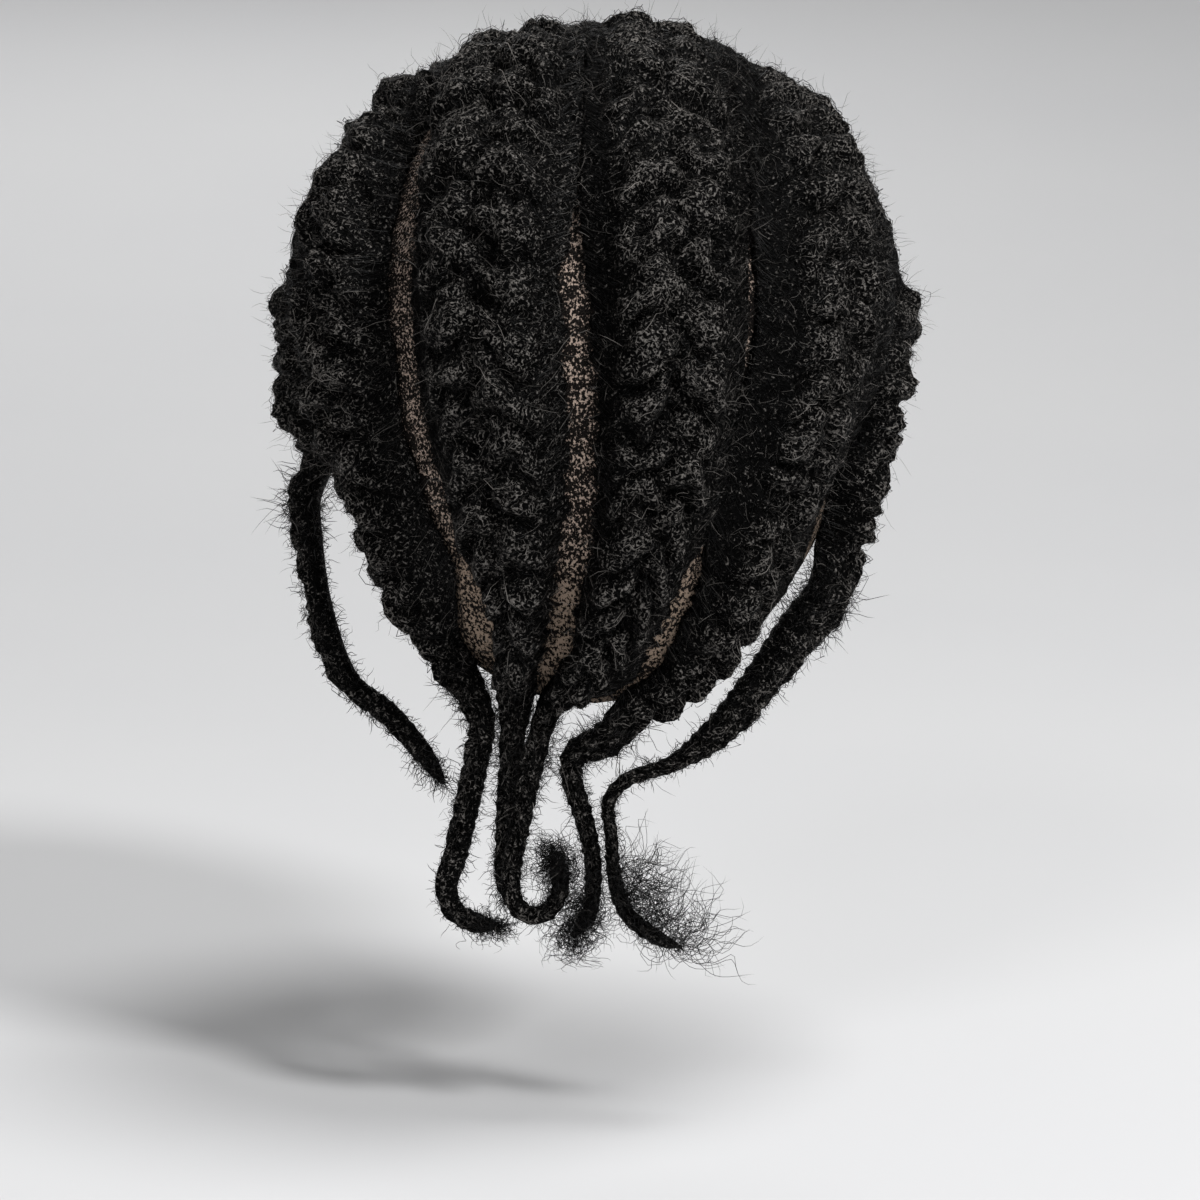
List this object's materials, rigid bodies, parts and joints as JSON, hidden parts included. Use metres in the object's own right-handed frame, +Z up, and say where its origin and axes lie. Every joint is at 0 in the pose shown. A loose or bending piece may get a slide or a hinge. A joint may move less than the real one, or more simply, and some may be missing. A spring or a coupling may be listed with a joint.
{
  "type": "cornrow toupee",
  "caption": "Worn hairpiece: a thin lace cap open below for the head, covered by raised cornrow plaits of kinky black hair that run from hairline to nape and end in loose tails.",
  "frame": {"origin": "crown of the head, at the top of the inside of the lace cap", "axes": "+Z up out of the crown, the wearer faces -Y and the wearer's left is +X"},
  "size_m": [0.191, 0.2015, 0.2637],
  "materials": {
    "lace": "fine tan net with dark hair knots",
    "hair": "kinky black hair, dull sheen"
  },
  "bodies": {
    "root": {"lace_cap": "lace", "cornrow_left_outer": "hair", "cornrow_left_middle": "hair", "cornrow_left_inner": "hair", "cornrow_right_inner": "hair", "cornrow_right_middle": "hair", "cornrow_right_outer": "hair"}
  },
  "joints": []
}
